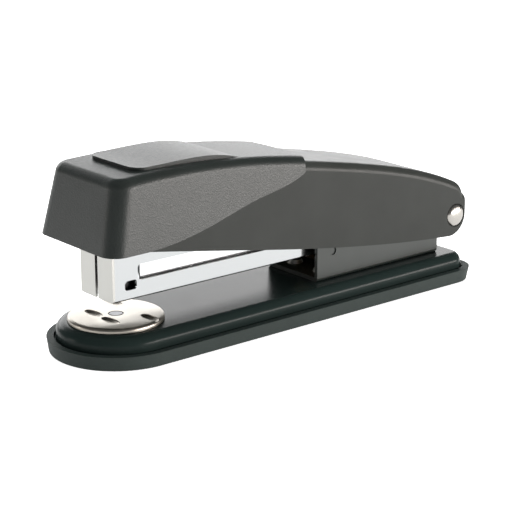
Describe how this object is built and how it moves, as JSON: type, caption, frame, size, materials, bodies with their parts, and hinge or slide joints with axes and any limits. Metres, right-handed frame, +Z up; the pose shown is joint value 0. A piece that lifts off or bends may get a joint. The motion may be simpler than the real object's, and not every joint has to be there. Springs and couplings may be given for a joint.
{
  "type": "desktop stapler",
  "caption": "Desktop stapler: long round-nosed base, turning anvil, chrome swinging magazine and a hinged handle with a grained plastic nose cap.",
  "frame": {"origin": "on the table, under the middle of the base's box", "axes": "+X runs towards the rear pivot, so the nose and the anvil are at -X; +Y is across the stapler; +Z is up"},
  "size_m": [0.1416, 0.0398, 0.0528],
  "materials": {
    "shoe_plastic": "fine matte",
    "pan_enamel": "gloss black enamel",
    "bracket_paint": "satin dark grey",
    "zinc_steel": "zinc plated",
    "nickel": "polished nickel",
    "spring_bronze": "spring bronze",
    "brass_rivet": "brass",
    "spring_steel": "bright spring wire",
    "pin_steel": "dull steel",
    "anvil_nickel": "warm nickel plate",
    "chrome": "bright chrome",
    "rail_steel": "bright plated steel",
    "block_plastic": "black nylon",
    "pusher_steel": "plated steel",
    "handle_satin": "satin dark grey",
    "cap_grain": "fine leather grain, matte",
    "blade_steel": "hardened steel"
  },
  "bodies": {
    "base": {"base_shoe": "shoe_plastic", "base_pan": "pan_enamel", "pivot_bracket": "bracket_paint", "bracket_rivets": "zinc_steel", "pivot_pin": "nickel", "pivot_spacers": "zinc_steel", "lift_spring": "spring_bronze", "lift_spring_rivet": "brass_rivet", "anvil_spring": "spring_steel"},
    "anvil_button": {"anvil_pin": "pin_steel", "anvil_washer": "zinc_steel"},
    "anvil": {"anvil_plate": "anvil_nickel"},
    "magazine": {"magazine_channel": "chrome", "staple_rail": "rail_steel", "rear_block": "block_plastic", "magazine_rivets": "zinc_steel", "guide_rod": "spring_steel", "pusher_spring": "spring_steel"},
    "pusher": {"pusher": "pusher_steel"},
    "handle": {"handle_shell": "handle_satin", "nose_cap": "cap_grain", "driver_arm": "zinc_steel", "driver_blade": "blade_steel", "driver_rivets": "zinc_steel", "return_spring": "spring_steel"}
  },
  "joints": [
    {"name": "anvil_lift", "type": "slide", "parent": "base", "child": "anvil_button", "axis": [0, 0, 1], "range_m": [0, 0.0014], "stiffness_N_per_m": 400, "springref_m": -0.0015, "deforming": ["anvil_spring"]},
    {"name": "anvil_turn", "type": "hinge", "parent": "anvil_button", "child": "anvil", "pos_m": [-0.0519, 0, 0.009], "axis": [0, 0, 1], "continuous": true},
    {"name": "magazine_swing", "type": "hinge", "parent": "base", "child": "magazine", "pos_m": [0.0667, 0, 0.0195], "axis": [0, 1, 0], "range_deg": [-2.6, 0], "stiffness_Nm_per_rad": 2, "springref_deg": 14.32, "deforming": ["lift_spring"]},
    {"name": "pusher_slide", "type": "slide", "parent": "magazine", "child": "pusher", "axis": [1, 0, 0], "range_m": [0, 0.09], "stiffness_N_per_m": 20, "springref_m": -0.06, "deforming": ["pusher_spring"]},
    {"name": "handle_swing", "type": "hinge", "parent": "magazine", "child": "handle", "pos_m": [0.0667, 0, 0.0195], "axis": [0, 1, 0], "range_deg": [-4.8, 70], "deforming": ["return_spring"]}
  ]
}
